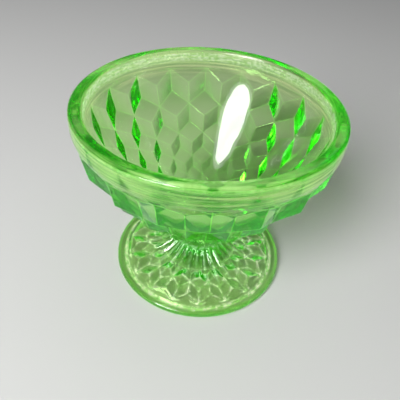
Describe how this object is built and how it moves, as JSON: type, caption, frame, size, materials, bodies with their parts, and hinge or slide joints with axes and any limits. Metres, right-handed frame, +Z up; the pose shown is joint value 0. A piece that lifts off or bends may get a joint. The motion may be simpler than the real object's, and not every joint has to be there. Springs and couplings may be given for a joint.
{
  "type": "footed glass dish",
  "caption": "Short-stemmed footed sherbet dish of pale green uranium glass, with a plain rim band over a pressed cube pattern and a flared round foot.",
  "frame": {"origin": "the middle of the flat ring that the foot stands on, on the surface below it", "axes": "+Z is up, along the axis that the dish is turned about; the dish has no front, so +X and +Y are any two directions across it"},
  "size_m": [0.0874, 0.0874, 0.0706],
  "materials": {
    "green_glass": "gloss"
  },
  "bodies": {
    "root": {"bowl": "green_glass", "stem": "green_glass", "foot": "green_glass"}
  },
  "joints": []
}
